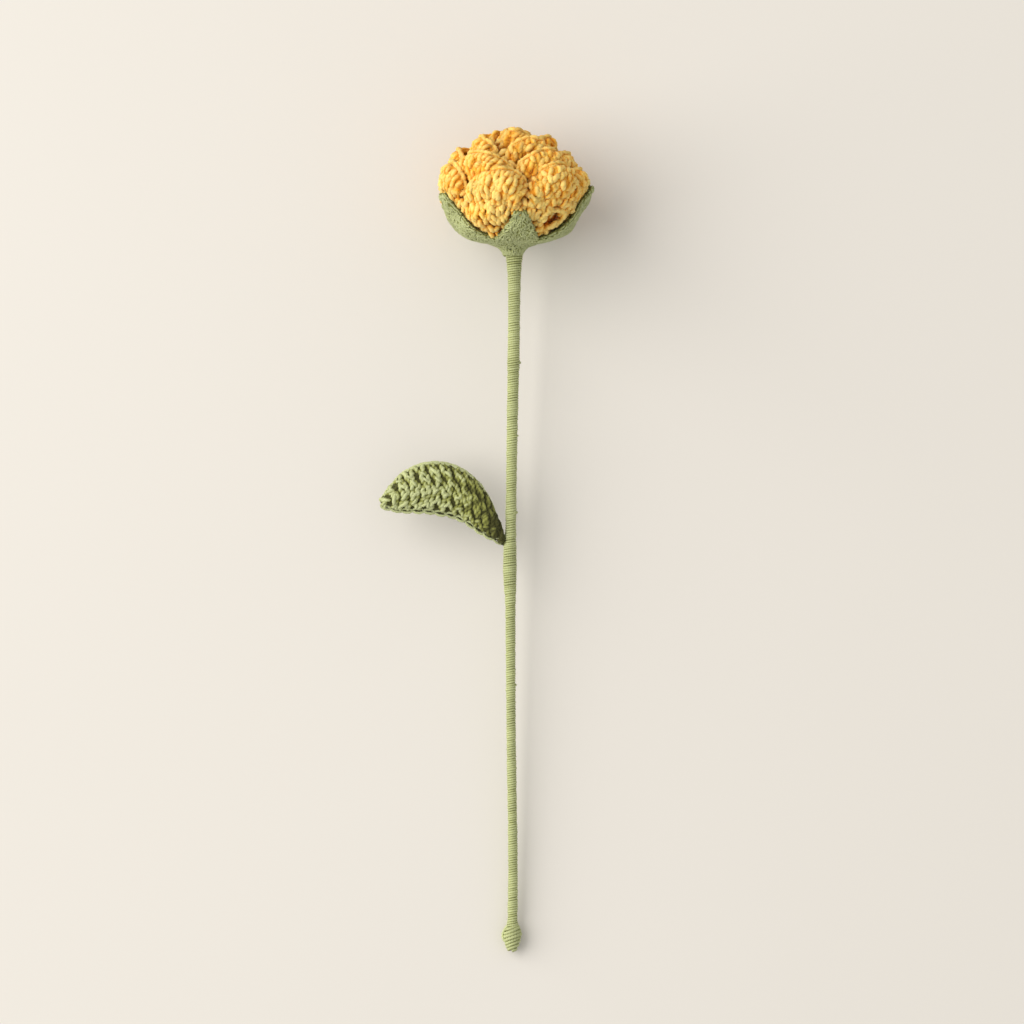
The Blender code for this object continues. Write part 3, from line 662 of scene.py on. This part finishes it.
# Stem winding: one yarn wound round the wire. The line is (height, x, z), the profile (height, radius) from
# the knob past the leaf's binding to the neck. drift, uneven and thickness are random changes, each (turns
# apart, size), and a lump of yarn is (height, side, radius, thickness).
stem = {
    "line": [(0, 0.0, 0.0), (41, 0.4, 0.1), (100, -0.4, 0.3), (170, -0.7, 0.0), (230, 0.0, -0.3),
             (275, 0.8, -0.1), (312, 1.0, 0.0), (345, 0.5, 0.0)],
    "profile": [(0.0, 1.7), (1.0, 2.4), (2.6, 3.1), (4.6, 3.8), (7.2, 4.4), (9.4, 4.1), (11.4, 3.1),
                (13.4, 2.4), (40, 2.25), (100, 2.2), (140, 2.3), (158, 2.5), (165, 3.0), (173, 3.2),
                (181, 3.1), (186, 2.75), (191, 2.5), (230, 2.55), (255, 2.7), (262, 2.8), (265, 3.1),
                (268, 2.8), (288, 2.8), (302, 3.0), (308, 3.4), (314.5, 4.3)],
    "binding": (158, 170, 181, 190), "bindingShift": 0.3,
    "pitch": 1.06, "yarn": 0.6, "stepsPerTurn": 18, "sides": 8, "ply": 9.0, "gain": 2.2, "depth": 0.3,
    "slant": 0.22, "drift": (2.0, 0.09), "uneven": (0.7, 0.08), "thickness": (0.7, 0.06), "sleeve": 1.2,
    "knob": {"top": 12.0, "fade": 2, "pitch": 1.5, "yarn": 0.9, "slant": 1.1, "light": 0.1},
    "eye": [(11.8, -1.9, 1.6), (10.4, -3.2, 1.4), (8.0, -4.2, 1.0), (5.8, -3.9, 1.0), (4.2, -2.7, 1.2)],
    "eyeYarn": 0.62,
    "fuzz": {"count": 5000, "from": 0.6, "length": 0.5, "radius": 0.025, "depth": 1.2},
    "lumps": ((265, 90, 2.7, 0.55), (197.6, 90, 2.45, 0.5), (232, 70, 2.5, 0.35), (120, 100, 2.2, 0.35)),
}


def stemCentre(height):
    fine = smoothLine(stem["line"], 200)
    x = np.interp(height, fine[:, 0], fine[:, 1])
    x = x - stem["bindingShift"] * np.interp(height, stem["binding"], (0, 1, 1, 0))
    return np.stack([x, height, np.interp(height, fine[:, 0], fine[:, 2])], axis=-1)


def aroundStem(angle):
    return np.stack([np.sin(angle), 0 * angle, np.cos(angle)], axis=-1)


def wander(rng, turn, apart, size):
    # A random value every so many turns, with straight lines between them
    marks = np.arange(0, turn[-1] + 4, apart)
    return np.interp(turn, marks, rng.normal(0, size, len(marks)))


def makeStem():
    # The helix: angle = 2 * pi * turn, height = the sum of the pitch, with a slow drift and
    # slant * sin(angle), and radius as the profile says, less the yarn's own half thickness. In the knob the
    # yarn lies thick and slanted. A plain sleeve lies under it, and one strand arches over the knob's side.
    rng, skein = newSkein(11)
    profile = np.array(stem["profile"])
    top = profile[-1, 0]
    level = np.linspace(0.5, top, 2000)
    knob = stem["knob"]
    inKnob = np.clip((knob["top"] - level) / knob["fade"], 0, 1)
    pitch = stem["pitch"] + (knob["pitch"] - stem["pitch"]) * inKnob
    made = np.concatenate([[0], (np.diff(level) / pitch[1:]).cumsum()])
    turn = np.linspace(0, made[-1], int(made[-1] * stem["stepsPerTurn"]))
    drift = wander(rng, turn, *stem["drift"])
    middle = np.interp(turn, made, level)
    inKnob = np.clip((knob["top"] - middle) / knob["fade"], 0, 1)
    slant = stem["slant"] + (knob["slant"] - stem["slant"]) * inKnob * np.clip(middle / 4, 0, 1)
    height = middle + drift * np.clip(turn / 20, 0, 1) + slant * np.sin(2 * math.pi * turn)
    height = np.clip(height, 0.4, top)
    lump = wander(rng, turn, *stem["uneven"])
    yarn = stem["yarn"] + (knob["yarn"] - stem["yarn"]) * inKnob
    wound = np.interp(height, profile[:, 0], profile[:, 1]) - yarn + lump
    out = aroundStem(2 * math.pi * turn)
    path = stemCentre(height) + wound[:, None] * out
    thick = yarn * (1 + wander(rng, turn, *stem["thickness"]))
    # The depth paints shade into the grooves between the turns, more so by gain, and lighter colour on the
    # lumps; the knob's yarn is a little lighter by its light
    depth = stem["depth"] + knob["light"] * inKnob + lump
    gain = (stem["gain"] * stem["yarn"] / yarn)[:, None]
    addStrands(skein, rng, path[None], thick, out, depth, stem["sides"], 1, stem["ply"], 0.0, gain)
    sleeve = np.linspace(0.6, top, 120)
    inner = np.interp(sleeve, profile[:, 0], profile[:, 1]) - stem["yarn"] * stem["sleeve"]
    # A sleeve under the winding, painted in the crease colour as shade
    addTube(skein, rng, stemCentre(sleeve), inner, underShadeDepth, 20)
    eye = smoothLine(stem["eye"], 22)
    path = stemCentre(eye[:, 0]) + np.stack([eye[:, 1], 0 * eye[:, 0], eye[:, 2]], axis=-1)
    addStrands(skein, rng, path[None], stem["eyeYarn"] * rounded(22, 0.5, 8), towardsFront, 1.2)
    u = np.linspace(-1, 1, 14)
    for place, side, radius, size in stem["lumps"]:
        out = aroundStem(math.radians(side) + 1.1 * u)
        path = stemCentre(place + 0.5 * u) + (radius - 0.3 + 0.5 * (1 - u**2))[:, None] * out
        thick = size * (0.4 + 0.6 * np.sqrt(1 - u**2))
        addStrands(skein, rng, path[None], thick, out, 1.0, pitch=3.4)
    addFuzz(skein, rng, stem["fuzz"])
    weave("stemWinding", skein, green, "stem_winding")


makeStem()
print("the stem is wound")

# Leaf: its upper and lower edge from the stalk to the tip, as (sideways, height), with the midrib midway.
# Of the two tiers of columns, -1 is the one below the midrib.
leaf = {
    "upper": [(-3.8, 184.6), (-5.8, 191.8), (-11.4, 205.0), (-18.3, 213.8), (-28.6, 219.3), (-39.9, 219.4),
              (-49.9, 214.4), (-56.9, 205.8), (-59.0, 202.0)],
    "lower": [(-3.6, 183.6), (-6.2, 185.4), (-10.0, 187.0), (-15.6, 190.3), (-25.2, 195.8), (-38.9, 198.4),
              (-48.9, 198.6), (-55.0, 199.9), (-59.3, 201.5)],
    "bulge": 5.0, "lean": 0.8, "curl": 4.8, "sheet": 0.8,
    "posts": 13, "rope": 1.16, "pitch": 7.0, "pinch": 0.3, "rest": 0.35, "twist": 0.4, "under": 0.06,
    "tiers": {-1: {"skew": -0.035, "baseSkew": 0.11, "tip": 0.016, "root": 0.0, "to": 0.93, "apart": 0.017},
              1: {"skew": 0.045, "baseSkew": 0.05, "tip": 0.006, "root": 0.008, "to": 0.94,
                  "apart": 0.0165}},
    "wraps": {"at": (0.22, 0.6), "angle": 52, "stray": 12, "length": 4.6, "radius": 0.8, "bulge": 0.85,
              "sink": 0.45, "bend": 0.3},
    "bars": {"stray": 30, "length": 4.5, "radius": 0.75, "bulge": 0.5, "sink": -0.3, "bend": 0.4},
    "barSpacing": 1.7, "barShadeDepth": -0.8, "shadeFrom": 0.55, "shade": 2.2, "evenDarker": 0.25,
    "back": {"at": (0.17, 0.47, 0.74), "from": 0.14, "to": 0.9, "light": 0.2, "shade": 0.5, "zigzag": 4.0,
             "stray": 7, "length": 6.6, "radius": 1.05, "bulge": 0.5, "sink": 0.85, "bend": 0.3, "steps": 6},
    "stalk": [(-1.6, 181.6, 0.0), (-3.2, 183.6, 0.0), (-4.6, 185.6, 0.0), (-6.4, 188.4, 0.2)],
    "stalkYarn": 1.1, "stalkDepth": -0.6, "edgeLean": 1.2,
    "lowerEdge": {"length": 5.1, "overlap": 0.07, "face": 0.1, "open": 1.0, "sink": 0.2, "radius": 0.62,
                  "depth": 0.9, "raise": 0.9},
    "upperEdge": {"length": 4.9, "overlap": 0.25, "face": 0.25, "open": 0.38, "sink": 0.0, "radius": 0.8,
                  "depth": 0.9, "raise": 0.2},
    "lowerAt": -0.98, "upperAt": 0.97,
    "fuzz": {"count": 7000, "from": 0.5, "length": 0.6, "radius": 0.025},
}


def leafSurface(r, q):
    # r runs from the lower edge at -1 to the upper one at 1, and q from the stalk to the tip. x and y are
    # linear between the edges, z = sin(pi q)^0.8 * (bulge - lean * r - curl * r^2)
    share = (r + 1) / 2
    lower, upper = (alongLine(leaf[key], q, 100) for key in ("lower", "upper"))
    x, y = (lower[k] * (1 - share) + upper[k] * share for k in range(2))
    swell = np.sin(math.pi * np.clip(q, 0, 1)) ** 0.8
    return np.stack([x, y, swell * (leaf["bulge"] - leaf["lean"] * r - leaf["curl"] * r**2)], axis=-1)


def leafPosts(skein, rng, tier):
    # Columns from the midrib out to an edge, each of two strands that swell apart and pinch together:
    # q = place + skew * r +- (apart * (1 - pinch + pinch * cos(angle)) + splay), height = rest +- twist *
    # sin(angle), where splay parts them by `tip` at the edge and by `root` at the midrib. Slanted wraps lie
    # over each column, and bars between them. Towards the stalk the yarn is painted darker by leafShade, a
    # painted shadow.
    posts = leaf["posts"]
    steps = 22
    u = np.linspace(0, 1, steps)[None]
    fine = np.linspace(0.02, 0.98, 300)
    line = leafSurface(0.55 * tier + 0 * fine, fine)
    arc = lengthAlong(line)
    place = np.interp((np.arange(posts) + 0.5) * (arc[-1] / posts), arc, fine)[:, None]
    place = place + rng.normal(0, 0.003, (posts, 1))
    width = np.linalg.norm(leafSurface(0 * place + tier, place) - leafSurface(0 * place, place), axis=-1)
    phase = rng.uniform(0, 6.28, (posts, 1))
    look = leaf["tiers"][tier]
    pitch = leaf["pitch"] * rng.uniform(0.85, 1.15, (posts, 1))
    sway = rng.normal(0, 0.004, (posts, 1))
    skew = look["skew"] + look["baseSkew"] * (1 - place) ** 2
    for way in (-1, 1):
        angle = phase + 2 * math.pi * width * u / pitch + way * 0.8
        splay = look["tip"] * np.clip((u - 0.7) / 0.3, 0, 1)
        splay = splay + look["root"] * np.clip((0.35 - u) / 0.35, 0, 1)
        r = tier * ((look["to"] + leaf["under"]) * u - leaf["under"]) + 0 * place
        q = place + skew * r + sway * u
        q = q + way * (look["apart"] * (1 - leaf["pinch"] + leaf["pinch"] * np.cos(angle)) + splay)
        height = leaf["rest"] + way * leaf["twist"] * np.sin(angle)
        path, normal = onSurface(leafSurface, r, np.clip(q, 0.01, 0.99), height)
        radius = leaf["rope"] * rounded(steps, 0.6, 8) * rng.uniform(0.9, 1.1, (posts, 1))
        radius = radius * np.clip(width / 7, 0.62, 1)
        addStrands(skein, rng, path, radius, normal, height - leafShade(q), 12, 2, 4.4, 0.16)
    wraps = leaf["wraps"]
    for level in wraps["at"]:
        r = tier * (level + rng.normal(0, 0.05, posts))
        q = (place + skew * r[:, None])[:, 0]
        slant = 90 - tier * (90 - wraps["angle"]) + 0 * q
        addStitches(skein, rng, leafSurface, r, q, slant, wraps, 1, -leafShade(q)[:, None])
    bars = int(2 * arc[-1] / leaf["barSpacing"])
    q = np.linspace(0.05, 0.94, bars) + rng.normal(0, 0.01, bars)
    r = tier * rng.uniform(0.05, 0.95, bars)
    # Bars lie deeper, painted in shade between the columns by barShadeDepth
    shift = leaf["barShadeDepth"] - leafShade(q)[:, None]
    addStitches(skein, rng, leafSurface, r, q, np.full(bars, 90.0), leaf["bars"], 1, shift)


def leafShade(q):
    # How far the depth is lowered: evenDarker + shade * (1 - q / shadeFrom), down to evenDarker. The part
    # that grows towards the stalk is painted shadow.
    return leaf["evenDarker"] + leaf["shade"] * np.clip(1 - q / leaf["shadeFrom"], 0, 1)


def leafBack(skein, rng, tier):
    # Plump stitches behind the sheet, in pairs like the columns in front. They are a little lighter by
    # `light`, and painted darker towards the stalk by `shade` times leafShade, a painted shadow.
    look = leaf["back"]
    count = 2 * leaf["posts"]
    for level in look["at"]:
        q = np.linspace(look["from"], look["to"], count) + rng.normal(0, 0.002, count)
        r = tier * (level + rng.normal(0, 0.02, count))
        slant = look["zigzag"] * (-1.0) ** np.arange(count)
        shift = look["light"] - look["shade"] * leafShade(q)[:, None]
        addStitches(skein, rng, leafSurface, r, q, slant, look, -1, shift)


def makeLeaf():
    rng, skein = newSkein(23)
    r, q = np.linspace(-1.06, 0.98, 17), np.linspace(0.02, 0.98, 41)
    # A sheet under the columns, painted in the crease colour as shade
    addSheet(skein, leafSurface, r, q, leaf["sheet"], underShadeDepth)
    for tier in leaf["tiers"]:
        leafPosts(skein, rng, tier)
    q = np.linspace(0.005, 0.99, 300)
    for edge in ("lower", "upper"):
        line, normal = onSurface(leafSurface, leaf[edge + "At"] + 0 * q, q, 0 * q)
        addChain(skein, rng, line, unit(normal + leaf["edgeLean"] * towardsFront), leaf[edge + "Edge"])
    for tier in leaf["tiers"]:
        leafBack(skein, rng, tier)
    stalk = smoothLine(leaf["stalk"], 12)
    # The stalk's low depth paints it in shade, as at the leaf's base
    addStrands(skein, rng, stalk[None], leaf["stalkYarn"] * rounded(12), towardsFront, leaf["stalkDepth"])
    addFuzz(skein, rng, leaf["fuzz"])
    weave("leafBlade", skein, green, "leaf")


makeLeaf()
print("the leaf is worked")


def sepalHalf(share, fullness, half):
    # Half a sepal's width: tip + (half - tip) * (1 - share^fullness)
    return calyx["tip"] + (half - calyx["tip"]) * (1 - np.clip(share, 0, 1) ** fullness)


def sepalSurface(turn, reach, fullness, half):
    # share runs along the bowl under the bloom, from the cup to the sepal's tip, and across from one side to
    # the other. The radius grows by lumps * sin(3 * across + turn) * sin(17 * share + turn).
    def surface(across, share):
        radius, high = alongLine(calyx["profile"], share * reach, 60)
        wide = np.minimum(sepalHalf(share, fullness, half), radius * calyx["crowding"])
        angle = math.radians(turn) + across * wide / radius
        radius = radius + calyx["lumps"] * np.sin(3 * across + turn) * np.sin(17 * share + turn)
        return aboutAxis(angle, radius, high)
    return surface


def feltRow(skein, rng, surface, across, level, jitter, face):
    # One row of short stitches, felted together: each leans its own way, and lies at its own depth. Inside
    # the cup the yarn is painted a deeper colour by innerShade, as shade.
    look = calyx["stitch"]
    count = len(across)
    lean = 90 + look["zigzag"] * (-1.0) ** np.arange(count)
    shift = -calyx["innerShade"] if face < 0 else 0.0
    addStitches(skein, rng, surface, across, level + rng.normal(0, jitter, count), lean, look, face, shift)


def makeSepal(number, turn, reach, fullness, half):
    rng, skein = newSkein(39 + number)
    surface = sepalSurface(turn, reach, fullness, half)
    across, share = np.linspace(-0.95, 0.95, 17), np.linspace(0.0, 0.98, 33)
    thickness = calyx["thick"] * np.sqrt(1 - (0.9 * np.abs(across[:, None])) ** 4)
    addSheet(skein, surface, across, share, thickness * calyx["sheet"], 0.4)
    rows = int(reach * calyx["length"] / calyx["row"])
    for row in range(rows):
        level = (row + 0.5) / rows
        for face, spacing in ((1, calyx["spacing"]), (-1, calyx["innerSpacing"])):
            count = max(3, int(round(2 * sepalHalf(level, fullness, half) / spacing)))
            place = ((np.arange(count) + 0.5) / count * 2 - 1) * calyx["edge"]
            place = place + rng.normal(0, 0.6 / count, count)
            feltRow(skein, rng, surface, np.clip(place, -1, 1), level, 0.35 / rows, face)
    # a rolled edge: stitches that follow the sepal's outline
    for side in (-1, 1):
        for face in (-1, 1):
            level = np.linspace(0.0, 0.97, 2 * rows)
            feltRow(skein, rng, surface, side * calyx["edge"] + 0 * level, level, 0.2 / rows, 0.3 * face)
    addFuzz(skein, rng, calyx["fuzz"])
    weave(f"sepal{number}", skein, green, "calyx")


def neckSurface(angle, q):
    # Turned about the bloom's axis: q runs up the neck, from the stem to where the sepals part
    radius, high = alongLine(calyx["neck"], q, 60)
    return aboutAxis(angle, radius, high)


def makeNeck():
    rng, skein = newSkein(31)
    profile = smoothLine(calyx["neck"], 24)
    inner = profile[:, 0] - calyx["neckInset"]
    addTube(skein, rng, aboutAxis(0.0, 0 * inner, profile[:, 1]), inner, calyx["neckDepth"], 40)
    rows = calyx["neckRows"]
    girth, growth = calyx["neckGirth"]
    for row in range(rows):
        level = (row + 0.5) / rows
        count = int(2 * math.pi * (girth + growth * level) / calyx["spacing"])
        place = np.arange(count) * 2 * math.pi / count + rng.normal(0, 1.5 / count, count)
        feltRow(skein, rng, neckSurface, place, level, 0.05, 0.5)
    addFuzz(skein, rng, calyx["fuzz"])
    weave("calyxCup", skein, green, "calyx")


makeNeck()
for number, sepal in enumerate(calyx["sepals"], 1):
    makeSepal(number, *sepal)
print("the calyx is worked")

# Studio: a plain pale floor, soft light from the left, and a camera that looks down square to the stem
studio = {
    "floor": (0.757, 0.727, 0.678), "cloud": 0.97, "size": 6.0,
    "world": (1.0, 0.985, 0.96), "worldStrength": 0.63,
    "key": {"place": (-2.3, 0.55, 1.7), "target": (0.0, 0.0, 0.02), "size": 3.4, "power": 107.0,
            "colour": (1.0, 0.97, 0.92)},
}
view = {"lens": 260.0, "middle": (0.0, 197.8, 0.0), "scale": 0.45, "frame": 1024}


def floorFinish():
    made, tree, shader = nodeTree("paleFloor")
    place = addNode(tree, "ShaderNodeTexCoord").outputs["Object"]
    cloud = addNode(tree, "ShaderNodeTexNoise", Vector=place, Scale=3.0, Detail=2.0)
    darker = [studio["cloud"] * c for c in studio["floor"]]
    pale = addRamp(tree, cloud.outputs["Fac"], (darker, studio["floor"]))
    setInputs(shader, {"Base Color": pale, "Roughness": 0.95, "Specular IOR Level": 0.1})
    return made


def makeFloor():
    half = studio["size"] / 2
    mesh = bpy.data.meshes.new("floor")
    corners = [(-half, -half, 0), (half, -half, 0), (half, half, 0), (-half, half, 0)]
    mesh.from_pydata(corners, [], [(0, 1, 2, 3)])
    mesh.materials.append(floorFinish())
    addObject("floor", mesh)


def aim(holder, place, target, upward):
    # A matrix whose -Z looks at the target and whose Y leans upwards
    back = unit(np.subtract(place, target))
    right = unit(np.cross(upward, back))
    matrix = np.eye(4)
    matrix[:3, :3] = np.stack([right, np.cross(back, right), back], axis=-1)
    matrix[:3, 3] = place
    holder.matrix_world = Matrix(matrix.tolist())


def makeLamp(name, lamp):
    light = bpy.data.lights.new(name, "AREA")
    light.size = lamp["size"]
    light.energy = lamp["power"]
    light.color = lamp["colour"]
    aim(addObject(name, light), lamp["place"], lamp["target"], (0.0, 1.0, 0.0))


def makeCamera():
    camera = bpy.data.cameras.new("camera")
    camera.lens = view["lens"]
    camera.clip_start, camera.clip_end = 0.05, 50
    holder = addObject("camera", camera)
    tilt = rose["tilt"]
    out = np.array([0.0, -math.sin(tilt), math.cos(tilt)])
    upward = (0.0, math.cos(tilt), math.sin(tilt))
    middle = laid(np.array(view["middle"]))
    width = view["scale"] * view["frame"] / 1000
    distance = width / 2 / (camera.sensor_width / 2 / camera.lens)
    aim(holder, middle + out * distance, middle, upward)
    bpy.context.scene.camera = holder


makeFloor()
world = bpy.data.worlds.new("softLight")
world.use_nodes = True
sky = {"Color": (*studio["world"], 1), "Strength": studio["worldStrength"]}
setInputs(world.node_tree.nodes["Background"], sky)
bpy.context.scene.world = world
makeLamp("keyLight", studio["key"])
makeCamera()
bpy.context.scene.view_settings.view_transform = "Standard"
print("the studio is set")
